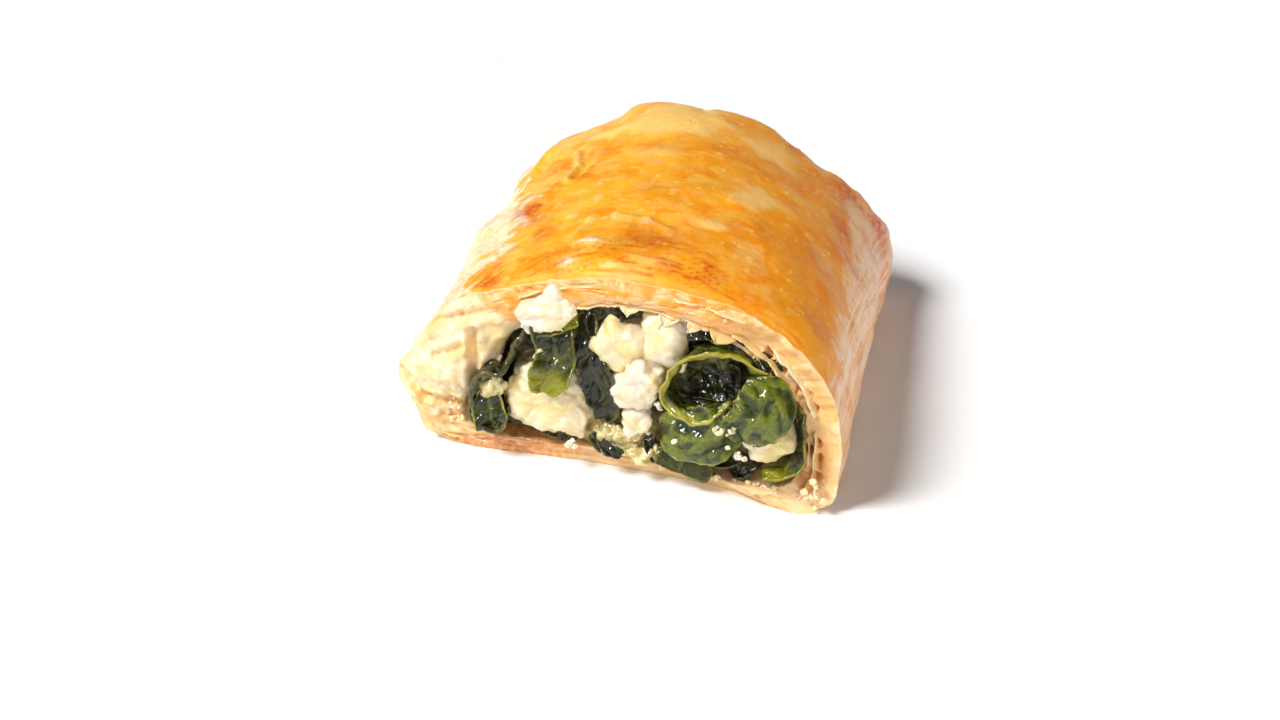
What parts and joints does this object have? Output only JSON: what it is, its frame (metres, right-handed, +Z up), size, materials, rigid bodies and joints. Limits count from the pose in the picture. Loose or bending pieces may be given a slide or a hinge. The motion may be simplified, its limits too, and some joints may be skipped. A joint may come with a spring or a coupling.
{
  "type": "filled pastry parcel half",
  "caption": "Cut half of a baked spinach and cheese pastry parcel: a domed flaky crust round a loose filling, flat underneath, open at the cut and closed at the far end.",
  "frame": {"origin": "middle of the box's underside, under the crust, on the surface the half rests on", "axes": "+X across the cut face, +Y back from the cut to the closed end, +Z up"},
  "size_m": [0.077, 0.0814, 0.0385],
  "materials": {
    "crust": "baked flaky dough with a soft egg-wash shine",
    "filling": "moist cooked spinach and soft cheese mash",
    "cheese": "crumbly white brined cheese, moist",
    "leaf": "wet wilted leaf"
  },
  "bodies": {
    "root": {"crust": "crust", "spinach_filling": "filling", "feta_rim": "cheese", "feta_upper_left": "cheese", "feta_upper_right": "cheese", "feta_middle": "cheese", "feta_drop": "cheese", "feta_lower_left": "cheese", "feta_lower_right": "cheese", "leaf_fold_right": "leaf", "leaf_fold_left": "leaf", "leaf_curl_right": "leaf", "leaf_floor": "leaf", "leaf_right_wall": "leaf", "leaf_hanging": "leaf", "leaf_strip": "leaf", "leaf_curl_left": "leaf", "leaf_top": "leaf", "leaf_scrap": "leaf"}
  },
  "joints": []
}
